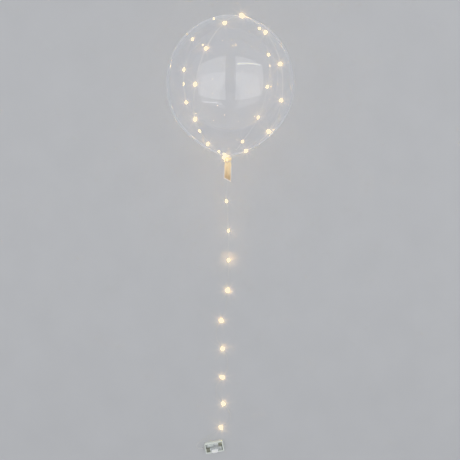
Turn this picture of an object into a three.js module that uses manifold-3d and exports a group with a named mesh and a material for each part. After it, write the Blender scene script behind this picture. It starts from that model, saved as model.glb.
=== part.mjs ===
// Clear bubble balloon, lying on its side, wound with a battery light string.
// Millimetres, +Z up. The origin is on the floor under the widest circle of the bubble.
// The crown lies towards +Y, the neck, the free string and the battery box towards -Y.

import * as THREE from 'three';
import { mergeVertices } from 'three/addons/utils/BufferGeometryUtils.js';
import Module from 'manifold-3d';

const wasm = await Module();
wasm.setup();

const DEG = Math.PI / 180;

// Film bubble: its outline, measured from the widest circle along the neck's axis
const bubbleRadius = 184.5;
const crownHeight = 195;
const shoulderDepth = 186; // where the rounded bottom starts to run into the neck
const bottomRound = 17; // how far past there the rounded bottom would close if it had no neck
const bottomTaper = 0.2; // how much slimmer the bottom is than a half ellipse
const bubbleSides = 36;

// Neck, above the tie, and the flat tail of film below it
const neckRadius = 9;
const shoulderRun = 28; // from the shoulder to where its curve has become the straight neck
const neckLength = 9; // from there to the middle of the tie
const waistSlope = 1.5; // the film draws in over this far at the edge of the tie
const tieWaistRadius = 8;
const tailWidth = 21.6;
const tailThickness = 3.2;
const tailFlatStart = 16; // the gathered neck is pressed flat this far past the tie
const tailEnd = 286; // the longest corner of the cut end
const tailCutAngle = 28; // degrees, the cut end slants

// How the balloon lies
const neckDroop = 12; // degrees that the neck hangs below level
const neckLean = 1.7; // degrees that the neck leans to -X
const flatSpotDepth = 3.3; // how far the film is pressed in where it rests

// Tie
const tieWidth = 4;
const tieThickness = 1.8;
const tieTipLength = 5;
const tieTipHeight = 2.4;
const tieTipRoot = 1; // how deep the cut end starts in the band
const fitGap = 0.3; // between pieces that touch

// Light string
const wireDiameter = 1.2;
const beadDiameter = 3.8;
const beadLength = 6.5;
const beadTipShare = 0.73; // width of a bead's ends, as a share of its diameter
const beadWireGap = 0.5;
const heldLights = 26; // lights on the stretch that the balloon holds, evenly set
const ledPitch = 100; // between the lights of the free stretch
const tailLedReach = 26; // from the tail's end back to the first light on the balloon
const looseEnd = 60.6; // wire past the last light
const freeLights = 9; // lights on the free stretch, the rest of it is the plain lead
const beadFilmGap = 0.4;
const strandGap = 0.9; // between a strand and the one that it passes over
const neckSpare = 0.6; // the neck curves tightly under the beads
const looseTurn = 2.5; // how much looser the first turn round the neck is
const beadFloorGap = 0.1;

// Battery box: a clear case for two AA cells
const cellDiameter = 14.2;
const cellLength = 49.3; // without the raised contact
const cellEdge = 0.6;
const cellTipDiameter = 5.5;
const cellTipHeight = 1.2;
const cellGap = 0.5;
const caseWall = 1.6;
const springLength = 3.8; // of the spring at one end of each cell, pressed
const contactThickness = 0.4;
const contactWidth = 11;
const contactHeight = 9.5;
const bridgeMargin = 2; // from the bridge's ends to the side walls
const springRadius = 3.2;
const springTipRadius = 1.8;
const cornerRadius = 3.5;
const ribLength = 2;
const ribWidth = 1.2;
const ribClear = 3; // from a rib's top up to the axes of the cells
const lidTabLength = 14;
const lidTabReach = 2.2;
const lidTabHeight = 2.6;
const reliefLength = 6;
const reliefDiameter = 5;
const reliefTipDiameter = 3.8;
const reliefHeight = 6; // of its axis above the floor
const caseTurn = 10; // degrees, the box lies askew

const joinDepth = 0.1; // how far a rib or a spring reaches into the piece that it is part of

const wireLift = beadDiameter / 2 + beadFilmGap; // the wire spans between its beads
const overLift = wireLift + wireDiameter + strandGap;
const neckLift = wireLift + neckSpare;
const neckOverLift = neckLift + wireDiameter + strandGap;
const looseLift = wireLift + looseTurn;
const floorLift = beadDiameter / 2 + beadFloorGap; // the free string lies on its beads
const bottomDepth = shoulderDepth + bottomRound;
const neckStart = shoulderDepth + shoulderRun;
const tieAt = neckStart + neckLength;
const tailFlatAt = tieAt + tailFlatStart;
const caseInnerLength = cellLength + cellTipHeight + springLength + 2 * contactThickness + 4 * fitGap;
const caseInnerWidth = 2 * cellDiameter + 3 * cellGap;
const caseLength = caseInnerLength + 2 * caseWall;
const caseWidth = caseInnerWidth + 2 * caseWall;
const cellHeight = caseWall + fitGap + cellDiameter / 2;
const trayHeight = cellHeight + cellDiameter / 4;
const lidTop = cellHeight + cellDiameter / 2 + fitGap + caseWall;

// Surfaces
const film = new THREE.MeshStandardMaterial({
  color: 0xe6e8ec,
  roughness: 0.05,
  transparent: true,
  opacity: 0.25,
});
const silverWire = new THREE.MeshStandardMaterial({ color: 0xd9d3c4, roughness: 0.3, metalness: 0.6 });
const warmLight = new THREE.MeshStandardMaterial({ color: 0xfff0c8, emissive: 0xffd890, roughness: 0.2 });
const clearPlastic = new THREE.MeshStandardMaterial({
  color: 0xeef0ee,
  roughness: 0.2,
  transparent: true,
  opacity: 0.45,
});
const cellJacket = new THREE.MeshStandardMaterial({ color: 0x7a765c, roughness: 0.4, metalness: 0.4 });
const springSteel = new THREE.MeshStandardMaterial({ color: 0xc4c4c2, roughness: 0.3, metalness: 0.9 });

// Closed three.js shapes become solids for cuts and joins, and come back as geometry.
function toSolid(geometry) {
  const bare = geometry.clone();
  bare.deleteAttribute('normal');
  bare.deleteAttribute('uv');
  const merged = mergeVertices(bare, 1e-4);
  const corners = merged.index.array;
  const kept = [];
  for (let i = 0; i < corners.length; i += 3) {
    const [a, b, c] = corners.slice(i, i + 3);
    if (a !== b && b !== c && c !== a) {
      kept.push(a, b, c);
    }
  }
  const vertProperties = new Float32Array(merged.attributes.position.array);
  const triVerts = new Uint32Array(kept);
  return new wasm.Manifold(new wasm.Mesh({ numProp: 3, vertProperties, triVerts }));
}

function toGeometry(solid) {
  const { vertProperties, triVerts } = solid.getMesh();
  const geometry = new THREE.BufferGeometry();
  geometry.setAttribute('position', new THREE.BufferAttribute(vertProperties, 3));
  geometry.setIndex(new THREE.BufferAttribute(triVerts, 1));
  return geometry;
}

function block(length, width, height, x, y, z) {
  return new THREE.BoxGeometry(length, width, height).translate(x, y, z);
}

function addMesh(group, name, geometry, material) {
  const mesh = new THREE.Mesh(geometry, material);
  mesh.name = name;
  group.add(mesh);
  return mesh;
}

// The bubble's outline from crown to neck, as points of radius and height over the widest circle.
function filmOutline() {
  const crownSteps = 11;
  const bottomSteps = 9;
  const shoulderSteps = 6;
  const points = [];
  for (let i = 0; i <= crownSteps; i += 1) {
    const angle = (i / crownSteps) * (Math.PI / 2);
    points.push(new THREE.Vector2(bubbleRadius * Math.sin(angle), crownHeight * Math.cos(angle)));
  }
  points[0].x = 0;
  for (let i = 1; i <= bottomSteps; i += 1) {
    const depth = (i / bottomSteps) * shoulderDepth;
    const share = depth / bottomDepth;
    const radius = bubbleRadius * Math.sqrt(1 - share ** 2) * (1 - bottomTaper * share ** 3);
    points.push(new THREE.Vector2(radius, -depth));
  }
  const shoulder = points.at(-1);
  const before = points.at(-2);
  const run = shoulder.clone().sub(before).normalize();
  const shoulderBend = (shoulder.x - neckRadius) * 0.5;
  const neckBend = shoulderRun * 0.45;
  const curve = new THREE.CubicBezierCurve(
    shoulder,
    shoulder.clone().addScaledVector(run, shoulderBend),
    new THREE.Vector2(neckRadius, neckBend - neckStart),
    new THREE.Vector2(neckRadius, -neckStart),
  );
  points.push(...curve.getPoints(shoulderSteps).slice(1));
  return points;
}

const outline = filmOutline();

// A point near the film is moved to stand off it by the given distance.
function standOff(point, lift) {
  const flat = new THREE.Vector2(Math.hypot(point.x, point.z), point.y);
  const line = [...outline, new THREE.Vector2(neckRadius, -tieAt)];
  let nearest = null;
  let outwards = null;
  let least = Infinity;
  for (let i = 0; i + 1 < line.length; i += 1) {
    const along = line[i + 1].clone().sub(line[i]);
    const share = THREE.MathUtils.clamp(flat.clone().sub(line[i]).dot(along) / along.lengthSq(), 0, 1);
    const foot = line[i].clone().addScaledVector(along, share);
    const gap = foot.distanceTo(flat);
    if (gap < least) {
      least = gap;
      nearest = foot;
      outwards = new THREE.Vector2(-along.y, along.x).normalize();
    }
  }
  const lifted = nearest.addScaledVector(outwards, lift);
  const azimuth = Math.atan2(point.x, point.z);
  return new THREE.Vector3(lifted.x * Math.sin(azimuth), lifted.y, lifted.x * Math.cos(azimuth));
}

// The balloon's own frame: the neck points along -Y, azimuth 0 faces +Z and 90 faces +X.
const balloon = new THREE.Group();
balloon.rotation.set(neckDroop * DEG, 0, -neckLean * DEG, 'ZXY');
const restHeight = Math.hypot(
  bubbleRadius * Math.cos(neckDroop * DEG),
  crownHeight * Math.sin(neckDroop * DEG),
) - flatSpotDepth;
balloon.position.set(0, 0, restHeight);
balloon.updateMatrixWorld(true);

// Film: one closed body, the sealed bubble with its gathered neck and flat tail.
function tailShape() {
  const spare = tailWidth / 2; // the slanting cut takes it off
  const length = tailEnd - tieAt + spare;
  const shape = new THREE.CylinderGeometry(1, 1, length, 16, 12);
  const places = shape.attributes.position;
  for (let i = 0; i < places.count; i += 1) {
    const depth = tieAt + length / 2 - places.getY(i);
    const flatten = THREE.MathUtils.smoothstep(depth, tieAt + tieWidth / 2, tailFlatAt);
    const halfWidth = THREE.MathUtils.lerp(tieWaistRadius - fitGap, tailWidth / 2, flatten);
    const halfThickness = THREE.MathUtils.lerp(tieWaistRadius - fitGap, tailThickness / 2, flatten);
    places.setXYZ(i, places.getX(i) * halfWidth, -depth, places.getZ(i) * halfThickness);
  }
  return shape;
}

function filmGeometry() {
  const waistTop = tieAt - tieWidth / 2;
  const waistEnd = tieAt + tieWidth / 2 + waistSlope;
  const waist = [
    new THREE.Vector2(neckRadius, -(waistTop - waistSlope)),
    new THREE.Vector2(tieWaistRadius, -waistTop),
    new THREE.Vector2(tieWaistRadius, -waistEnd),
    new THREE.Vector2(0, -waistEnd),
  ];
  const profile = [...outline, ...waist].reverse();
  const body = toSolid(new THREE.LatheGeometry(profile, bubbleSides));
  const cutSize = 3 * tailWidth;
  const cut = block(cutSize, cutSize, cutSize, 0, -cutSize / 2, 0);
  cut.rotateZ(-tailCutAngle * DEG);
  cut.translate(tailWidth / 2, -tailEnd, 0);
  const tail = toSolid(tailShape()).subtract(toSolid(cut));
  const floorSize = 3 * bubbleRadius;
  const floor = block(floorSize, floorSize, floorSize, 0, 0, -floorSize / 2);
  floor.applyMatrix4(balloon.matrixWorld.clone().invert());
  return toGeometry(body.add(tail).subtract(toSolid(floor)));
}

addMesh(balloon, 'balloon_film', filmGeometry(), film);

// Tie: a narrow band round the gathered neck, with its cut end standing out.
function tieGeometry() {
  const inner = tieWaistRadius + fitGap;
  const outer = inner + tieThickness;
  const half = tieWidth / 2;
  const profile = [
    new THREE.Vector2(inner, -half),
    new THREE.Vector2(outer, -half),
    new THREE.Vector2(outer, half),
    new THREE.Vector2(inner, half),
    new THREE.Vector2(inner, -half),
  ];
  const band = toSolid(new THREE.LatheGeometry(profile, 24));
  const tipReach = outer + tieTipLength / 2 - tieTipRoot;
  const tip = block(tieTipLength, tieTipHeight, tieThickness, -tipReach, -half / 2, 0);
  return toGeometry(band.add(toSolid(tip)));
}

addMesh(balloon, 'neck_tie', tieGeometry(), film).position.y = -tieAt;

// Places on the balloon that the wire passes, from the tail's end to the loose end.
function onBubble(azimuth, polar, lift = wireLift) {
  const reach = bubbleRadius * 1.04;
  const flat = reach * Math.sin(polar * DEG);
  const rough = new THREE.Vector3(
    flat * Math.sin(azimuth * DEG),
    reach * Math.cos(polar * DEG),
    flat * Math.cos(azimuth * DEG),
  );
  return { point: standOff(rough, lift), lift };
}

function onNeck(azimuth, depth, lift = neckLift) {
  const inside = outline.findIndex((place) => place.y <= -depth);
  const above = outline[inside - 1] ?? outline.at(-1);
  const below = outline[inside] ?? outline.at(-1);
  const span = above.y - below.y;
  const share = span > 0 ? (above.y + depth) / span : 0;
  const radius = THREE.MathUtils.lerp(above.x, below.x, share) + lift;
  const rough = new THREE.Vector3(radius * Math.sin(azimuth * DEG), -depth, radius * Math.cos(azimuth * DEG));
  return { point: standOff(rough, lift), lift };
}

function underTail(depth, reach) {
  return { point: new THREE.Vector3(0, -depth, -reach), lift: 0 };
}

function wrap(fromAzimuth, toAzimuth, fromDepth, toDepth, lift = neckLift) {
  const placeEvery = 24; // degrees
  const steps = Math.ceil(Math.abs(toAzimuth - fromAzimuth) / placeEvery);
  const places = [];
  for (let i = 0; i <= steps; i += 1) {
    const azimuth = THREE.MathUtils.lerp(fromAzimuth, toAzimuth, i / steps);
    const depth = THREE.MathUtils.lerp(fromDepth, toDepth, i / steps);
    places.push(onNeck(azimuth, depth, lift));
  }
  return places;
}

const tieClear = tieWaistRadius + fitGap + tieThickness + fitGap + wireDiameter / 2;
const tailClear = tailThickness / 2 + wireLift;
const { lerp } = THREE.MathUtils;
const upTail = (share) => lerp(tailEnd, tailFlatAt, share);
const pastFlat = (share) => lerp(tailFlatAt, tieAt, share);
const upNeck = (share) => lerp(tieAt, neckStart, share);
const upShoulder = (share) => lerp(neckStart, shoulderDepth, share);
const tailStretch = [
  underTail(upTail(0.15), tailClear),
  underTail(upTail(0.47), tailClear),
  underTail(upTail(0.81), tailClear),
  underTail(upTail(0.94), tailClear + fitGap),
  underTail(pastFlat(0.31), (tailClear + tieClear) / 2),
  underTail(pastFlat(0.72), tieClear),
  underTail(upNeck(0.05), tieClear + fitGap),
];
const loopOnFarLeftAndRight = [
  onNeck(-48, upShoulder(0.21), looseLift),
  onNeck(-42, upShoulder(0.43)),
  onBubble(-36, 166),
  onBubble(-35, 145),
  onBubble(-34, 116),
  onBubble(-30, 87),
  onBubble(-25, 58),
  onBubble(-13, 29),
  onBubble(53, 9),
  onBubble(132, 36),
  onBubble(138, 66),
  onBubble(142, 94),
  onBubble(145, 123),
  onBubble(150, 150),
  onBubble(151, 167),
];
const loopAcross = [
  onNeck(408, upShoulder(0.36)),
  onBubble(48, 166),
  onBubble(51, 148),
  onBubble(52, 131),
  onBubble(51, 102),
  onBubble(51, 72),
  onBubble(51, 42),
  onBubble(51, 24),
  onBubble(52, 16, (wireLift + overLift) / 2),
  onBubble(53, 9, overLift),
  onBubble(40, 1, (wireLift + overLift) / 2),
  onBubble(-127, 8),
  onBubble(-126, 20),
  onBubble(-126, 45),
  onBubble(-129, 75),
  onBubble(-130, 103),
  onBubble(-132, 132),
  onBubble(-133, 150),
  onBubble(-134, 167),
];
const heldRoute = [
  ...tailStretch,
  ...wrap(176, -56, upNeck(0.33), upNeck(0.78), looseLift),
  ...loopOnFarLeftAndRight,
  onNeck(151, upShoulder(0.36), neckOverLift),
  onNeck(154, upShoulder(0.21), neckOverLift),
  ...wrap(178, 398, upShoulder(0.125), upShoulder(0.18)),
  ...loopAcross,
  ...wrap(222, 80, upShoulder(0.32), upShoulder(0.11)),
];

// The smooth wire through those places: dense points that keep their distance from the film.
const samplesPerPlace = 24;

function smoothWire(route) {
  const places = new THREE.CatmullRomCurve3(route.map((place) => place.point), false, 'centripetal');
  const lifts = new THREE.CatmullRomCurve3(route.map((place) => new THREE.Vector3(place.lift, 0, 0)));
  const samples = route.length * samplesPerPlace;
  const points = [];
  for (let i = 0; i <= samples; i += 1) {
    const point = places.getPoint(i / samples);
    const lift = lifts.getPoint(i / samples).x;
    points.push(lift > 0.9 * wireLift ? standOff(point, lift) : point);
  }
  return points;
}

// A wire measured along its length, so that lights can be set at their pitch.
function measure(points) {
  const lengths = [0];
  for (let i = 1; i < points.length; i += 1) {
    lengths.push(lengths[i - 1] + points[i].distanceTo(points[i - 1]));
  }
  const total = lengths.at(-1);
  function at(distance) {
    const wanted = THREE.MathUtils.clamp(distance, 0, total);
    const next = Math.max(1, lengths.findIndex((length) => length >= wanted));
    const share = (wanted - lengths[next - 1]) / (lengths[next] - lengths[next - 1] || 1);
    return points[next - 1].clone().lerp(points[next], share);
  }
  return { total, at };
}

function ledPlaces(first, pitch, count) {
  return Array.from({ length: count }, (_, index) => first + index * pitch);
}

// Stations for the wire's tube: one just outside each end of a bead, and even steps between.
const beadReach = beadLength / 2 + beadWireGap + joinDepth;
const shortStep = 0.4; // a last step shorter than this share of a step joins the one before
const hair = 1e-6;

function stationsFor(wire, leds, stepFor) {
  const stops = [0, ...leds.flatMap((place) => [place - beadReach, place + beadReach]), wire.total];
  const stations = [wire.at(0)];
  for (let i = 0; i + 1 < stops.length; i += 1) {
    const from = stops[i];
    const to = stops[i + 1];
    const isBead = i % 2 === 1;
    let distance = from;
    while (distance < to - hair) {
      const step = isBead ? to - from : stepFor(wire.at(distance), to - distance);
      distance = Math.min(to, distance + step);
      if (to - distance < step * shortStep) {
        distance = to;
      }
      stations.push(wire.at(distance));
    }
  }
  return stations;
}

class StationCurve extends THREE.CatmullRomCurve3 {
  getUtoTmapping(u) {
    return u;
  }
}

function tubeAlong(stations, sides) {
  const corners = [];
  for (let i = 0; i < sides; i += 1) {
    const angle = ((i + 0.5) / sides) * 2 * Math.PI;
    corners.push(new THREE.Vector2(Math.cos(angle), Math.sin(angle)).multiplyScalar(wireDiameter / 2));
  }
  return new THREE.ExtrudeGeometry(new THREE.Shape(corners), {
    steps: stations.length - 1,
    bevelEnabled: false,
    extrudePath: new StationCurve(stations, false, 'centripetal'),
  });
}

// Light bead: a drop of clear resin over the chip, cast round the wire, with a hole for it.
function beadGeometry() {
  const hole = wireDiameter / 2 + beadWireGap;
  const radius = beadDiameter / 2;
  const half = beadLength / 2;
  const tip = radius * beadTipShare;
  const profile = [
    new THREE.Vector2(hole, -half),
    new THREE.Vector2(tip, -half),
    new THREE.Vector2(radius, -half / 3),
    new THREE.Vector2(radius, half / 3),
    new THREE.Vector2(tip, half),
    new THREE.Vector2(hole, half),
    new THREE.Vector2(hole, -half),
  ];
  return new THREE.LatheGeometry(profile, 6);
}

function addBeads(group, wire, leds, name) {
  leds.forEach((distance, index) => {
    const from = wire.at(distance - beadReach);
    const to = wire.at(distance + beadReach);
    const number = String(index + 1).padStart(2, '0');
    const bead = addMesh(group, `${name}_${number}`, beadGeometry(), warmLight);
    bead.position.copy(from).lerp(to, 0.5);
    bead.quaternion.setFromUnitVectors(new THREE.Vector3(0, 1, 0), to.sub(from).normalize());
  });
}

// Held wire: from the tail's end, twice over the crown, with its turns round the neck.
const heldWire = measure(smoothWire(heldRoute));
const heldPitch = (heldWire.total - tailLedReach - looseEnd) / (heldLights - 1);
const heldLeds = ledPlaces(tailLedReach, heldPitch, heldLights);
const bubbleStep = 19;
const neckStep = 5.5;

function heldStep(point, left) {
  const nearNeck = point.y < -shoulderDepth && Math.hypot(point.x, point.z) < 3 * neckRadius;
  const onFlatTail = point.y < -(tailFlatAt + neckStep);
  return Math.min(left, nearNeck && !onFlatTail ? neckStep : bubbleStep);
}

addMesh(balloon, 'light_wire', tubeAlong(stationsFor(heldWire, heldLeds, heldStep), 6), silverWire);
addBeads(balloon, heldWire, heldLeds, 'led_balloon');

// Free string: places across and along from the tail's end, then how much of the tail's
// height above the floor is left, and of the strain relief's height has been reached.
const freePlaces = [
  [0, 0, 1, 0],
  [-0.4, -9, 0.983, 0],
  [-1.5, -30, 0.885, 0],
  [-3, -60, 0.735, 0],
  [-0.5, -106, 0.565, 0],
  [2.5, -152, 0.41, 0],
  [3, -192, 0.275, 0],
  [3.5, -233, 0.165, 0],
  [2.5, -266, 0.083, 0],
  [2.5, -285, 0.03, 0],
  [1.5, -309, 0.006, 0],
  [0.5, -345, 0, 0],
  [-2.5, -383, 0, 0],
  [-9, -418, 0, 0],
  [-19.5, -446, 0, 0],
  [-34, -473, 0, 0],
  [-35.5, -504, 0, 0],
  [-18, -535, 0, 0],
  [-2, -566, 0, 0],
  [-1, -600, 0, 0],
  [-16.5, -631, 0, 0],
  [-35.5, -659, 0, 0],
  [-34.5, -690, 0, 0],
  [-13, -717, 0, 0],
  [6, -744, 0, 0],
  [7.5, -773, 0, 0],
  [-5.5, -787, 0, 0],
  [-22.5, -794.5, 0, 0],
  [-47, -812, 0, 0],
  [-72, -829.5, 0, 0],
  [-96.4, -846.5, 0, 0.1],
  [-100.1, -853, 0, 0.35],
  [-97.2, -860.1, 0, 0.75],
  [-90, -862.2, 0, 1],
  [-78.5, -860.4, 0, 1],
];
const exit = balloon.localToWorld(heldRoute[0].point.clone().add(new THREE.Vector3(0, -fitGap, 0)));
const freeRoute = freePlaces.map(([across, along, fall, rise]) => new THREE.Vector3(
  exit.x + across,
  exit.y + along,
  floorLift + fall * (exit.z - floorLift) + rise * (reliefHeight - floorLift),
));
const freeCurve = new THREE.CatmullRomCurve3(freeRoute, false, 'centripetal');
const freeWire = measure(freeCurve.getPoints(freeRoute.length * samplesPerPlace));
const freeLeds = ledPlaces(ledPitch - tailLedReach, ledPitch, freeLights);
const freeStep = 13;
const nearBoxReach = 45;

function freeStepFor(point, left) {
  const nearBox = point.distanceTo(freeRoute.at(-1)) < nearBoxReach;
  return Math.min(left, nearBox ? freeStep / 2 : freeStep);
}

const object = new THREE.Group();
object.add(balloon);
addMesh(object, 'light_cord', tubeAlong(stationsFor(freeWire, freeLeds, freeStepFor), 8), silverWire);
addBeads(object, freeWire, freeLeds, 'led_string');

// Battery box: its own frame has the lead's end at -X, and stands on the floor.
const box = new THREE.Group();
box.rotation.z = caseTurn * DEG;
const cordEnd = freeRoute.at(-1);
const boxReach = new THREE.Vector3(caseLength / 2 + reliefLength + 2 * fitGap, 0, 0);
boxReach.applyAxisAngle(new THREE.Vector3(0, 0, 1), caseTurn * DEG);
box.position.set(cordEnd.x + boxReach.x, cordEnd.y + boxReach.y, 0);
object.add(box);

function roundedPlate(length, width, radius, height) {
  const x = length / 2;
  const y = width / 2;
  const shape = new THREE.Shape();
  shape.moveTo(-x + radius, -y);
  shape.lineTo(x - radius, -y);
  shape.absarc(x - radius, -y + radius, radius, -Math.PI / 2, 0, false);
  shape.lineTo(x, y - radius);
  shape.absarc(x - radius, y - radius, radius, 0, Math.PI / 2, false);
  shape.lineTo(-x + radius, y);
  shape.absarc(-x + radius, y - radius, radius, Math.PI / 2, Math.PI, false);
  shape.lineTo(-x, -y + radius);
  shape.absarc(-x + radius, -y + radius, radius, Math.PI, 1.5 * Math.PI, false);
  return new THREE.ExtrudeGeometry(shape, { depth: height, bevelEnabled: false, curveSegments: 4 });
}

function trayGeometry() {
  const outside = toSolid(roundedPlate(caseLength, caseWidth, cornerRadius, trayHeight));
  const room = roundedPlate(caseInnerLength, caseInnerWidth, cornerRadius - caseWall, trayHeight);
  const ribHeight = cellHeight - caseWall - ribClear;
  const ribZ = caseWall + ribHeight / 2 - joinDepth;
  const rib = block(ribLength, ribWidth, ribHeight, caseInnerLength / 4, 0, ribZ);
  const otherRib = rib.clone().translate(-caseInnerLength / 2, 0, 0);
  const tray = outside.subtract(toSolid(room.translate(0, 0, caseWall)));
  return toGeometry(tray.add(toSolid(rib)).add(toSolid(otherRib)));
}

function lidGeometry() {
  const seam = trayHeight + fitGap;
  const outside = toSolid(roundedPlate(caseLength, caseWidth, cornerRadius, lidTop - seam));
  const room = roundedPlate(caseInnerLength, caseInnerWidth, cornerRadius - caseWall, lidTop - seam - caseWall);
  const hollow = toSolid(room.translate(0, 0, -fitGap));
  const tabRoot = caseWall / 2;
  const tabY = -(caseWidth + lidTabReach - tabRoot) / 2;
  const tab = block(lidTabLength, lidTabReach + tabRoot, lidTabHeight, 0, tabY, lidTabHeight / 2);
  const lid = outside.add(toSolid(tab)).subtract(hollow);
  return toGeometry(lid).translate(0, 0, seam);
}

function cellGeometry() {
  const profile = [
    new THREE.Vector2(0, -cellLength / 2),
    new THREE.Vector2(cellDiameter / 2 - cellEdge, -cellLength / 2),
    new THREE.Vector2(cellDiameter / 2, -cellLength / 2 + cellEdge),
    new THREE.Vector2(cellDiameter / 2, cellLength / 2 - cellEdge),
    new THREE.Vector2(cellDiameter / 2 - cellEdge, cellLength / 2),
    new THREE.Vector2(cellTipDiameter / 2, cellLength / 2),
    new THREE.Vector2(cellTipDiameter / 2, cellLength / 2 + cellTipHeight),
    new THREE.Vector2(0, cellLength / 2 + cellTipHeight),
  ];
  return new THREE.LatheGeometry(profile, 20).rotateZ(-Math.PI / 2);
}

function contactGeometry(width, springAt) {
  const plate = toSolid(block(contactThickness, width, contactHeight, contactThickness / 2, 0, 0));
  const length = springLength + joinDepth;
  const spring = new THREE.CylinderGeometry(springTipRadius, springRadius, length, 12);
  spring.rotateZ(-Math.PI / 2).translate(contactThickness - joinDepth + length / 2, springAt, 0);
  return toGeometry(plate.add(toSolid(spring)));
}

addMesh(box, 'battery_tray', trayGeometry(), clearPlastic);
addMesh(box, 'battery_lid', lidGeometry(), clearPlastic);

const cellOffset = cellDiameter / 2 + cellGap / 2;
const springFace = caseInnerLength / 2 - fitGap;
const tipFace = springFace - contactThickness - fitGap;
const cellShift = tipFace - cellTipHeight - cellLength / 2;
const cells = [
  { name: 'battery_cell_1', side: 1, turn: 0 },
  { name: 'battery_cell_2', side: -1, turn: Math.PI },
];
for (const { name, side, turn } of cells) {
  const cell = addMesh(box, name, cellGeometry(), cellJacket);
  cell.position.set(side * cellShift, side * cellOffset, cellHeight);
  cell.rotation.z = turn;
}

// Contacts: a bridge across both cells at the far end, and one for each cell at the lead's end.
const bridgeWidth = caseInnerWidth - 2 * bridgeMargin;
const bridge = addMesh(box, 'contact_bridge', contactGeometry(bridgeWidth, cellOffset), springSteel);
bridge.position.set(springFace, 0, cellHeight);
bridge.rotation.z = Math.PI;
const springContact = addMesh(box, 'contact_spring', contactGeometry(contactWidth, 0), springSteel);
springContact.position.set(-springFace, cellOffset, cellHeight);
const flatPlate = block(contactThickness, contactWidth, contactHeight, contactThickness / 2, 0, 0);
const flatContact = addMesh(box, 'contact_plate', flatPlate, springSteel);
flatContact.position.set(-springFace, -cellOffset, cellHeight);

// Strain relief: a short sleeve on the end wall that the lead goes into.
const relief = addMesh(
  box,
  'strain_relief',
  new THREE.CylinderGeometry(reliefTipDiameter / 2, reliefDiameter / 2, reliefLength, 16).rotateZ(Math.PI / 2),
  clearPlastic,
);
relief.position.set(-(caseLength / 2 + fitGap + reliefLength / 2), 0, reliefHeight);

export default object;
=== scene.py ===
import math

import bpy
from mathutils import Matrix, Vector


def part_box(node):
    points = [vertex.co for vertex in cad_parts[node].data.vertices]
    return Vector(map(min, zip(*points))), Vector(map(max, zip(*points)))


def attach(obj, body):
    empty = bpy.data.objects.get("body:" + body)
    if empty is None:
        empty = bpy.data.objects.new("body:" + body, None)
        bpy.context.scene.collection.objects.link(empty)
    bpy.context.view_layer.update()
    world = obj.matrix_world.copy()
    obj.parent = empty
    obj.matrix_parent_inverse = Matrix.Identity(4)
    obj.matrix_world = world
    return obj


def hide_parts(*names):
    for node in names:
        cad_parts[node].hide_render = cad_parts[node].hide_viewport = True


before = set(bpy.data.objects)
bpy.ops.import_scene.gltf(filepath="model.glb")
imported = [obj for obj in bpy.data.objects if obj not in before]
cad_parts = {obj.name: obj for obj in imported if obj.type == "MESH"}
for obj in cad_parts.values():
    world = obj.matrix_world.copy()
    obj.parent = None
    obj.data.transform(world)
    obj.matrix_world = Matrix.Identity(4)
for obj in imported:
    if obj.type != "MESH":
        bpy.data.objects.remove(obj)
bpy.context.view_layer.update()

# Camera: it looks down on the lying balloon from as far away as the photograph was taken, so
# that the crown is at the top of the picture and the battery box at its foot.
camera_place = (-0.0004, -0.3156, 2.284)
camera_tilt = math.radians(-2.86)
camera_lens = 56.3
film_gate = 36
bpy.ops.object.camera_add(location=camera_place, rotation=(camera_tilt, 0, 0))
camera = bpy.context.object
camera.data.sensor_width = film_gate
camera.data.lens = camera_lens
camera.data.clip_start = 0.01
bpy.context.scene.camera = camera

# Free light string: fine lacquered copper wires twisted together. It hangs from the tail's
# end, lies along the floor for the rest of its metre and goes into the battery box.
cord_exit = Vector((-0.00808, -0.27222, 0.11979))
cord_floor_height = 0.0020
relief_axis_height = 0.006
strand_radius = 0.00027
strand_offset = 0.00032
strand_turn = 0.011
strand_count = 3
wire_step = 0.0014
# each place is across and along from the tail's end in millimetres, then the share of the
# tail's height that is left and the share of the strain relief's height that is reached
cord_places = [
    (0, 0, 1, 0), (-0.4, -9, 0.983, 0), (-1.5, -30, 0.885, 0), (-3, -60, 0.735, 0),
    (-0.5, -106, 0.565, 0), (2.5, -152, 0.41, 0), (3, -192, 0.275, 0), (3.5, -233, 0.165, 0),
    (2.5, -266, 0.083, 0), (2.5, -285, 0.03, 0), (1.5, -309, 0.006, 0), (0.5, -345, 0, 0),
    (-2.5, -383, 0, 0), (-9, -418, 0, 0), (-19.5, -446, 0, 0), (-34, -473, 0, 0),
    (-35.5, -504, 0, 0), (-18, -535, 0, 0), (-2, -566, 0, 0), (-1, -600, 0, 0), (-16.5, -631, 0, 0),
    (-35.5, -659, 0, 0), (-34.5, -690, 0, 0), (-13, -717, 0, 0), (6, -744, 0, 0), (7.5, -773, 0, 0),
    (-5.5, -787, 0, 0), (-22.5, -794.5, 0, 0), (-47, -812, 0, 0), (-72, -829.5, 0, 0),
    (-96.4, -846.5, 0, 0.1), (-100.1, -853, 0, 0.35), (-97.2, -860.1, 0, 0.75), (-90, -862.2, 0, 1),
    (-78.5, -860.4, 0, 1),
]


def smooth_path(places, per_place=24):
    """Close points on the smooth line through these places."""
    count = len(places)
    points = []
    for step in range(count * per_place + 1):
        reach = (count - 1) * step / (count * per_place)
        index = min(int(reach), count - 2)
        share = reach - index
        here = places[index]
        there = places[index + 1]
        before = places[index - 1] if index > 0 else 2 * here - there
        after = places[index + 2] if index + 2 < count else 2 * there - here
        a = math.sqrt((here - before).length)
        b = math.sqrt((there - here).length)
        c = math.sqrt((after - there).length)
        leaving = ((here - before) / a - (there - before) / (a + b) + (there - here) / b) * b
        arriving = ((there - here) / b - (after - here) / (b + c) + (after - there) / c) * b
        square = 3 * (there - here) - 2 * leaving - arriving
        cube = 2 * (here - there) + leaving + arriving
        points.append(here + leaving * share + square * share**2 + cube * share**3)
    return points


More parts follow.
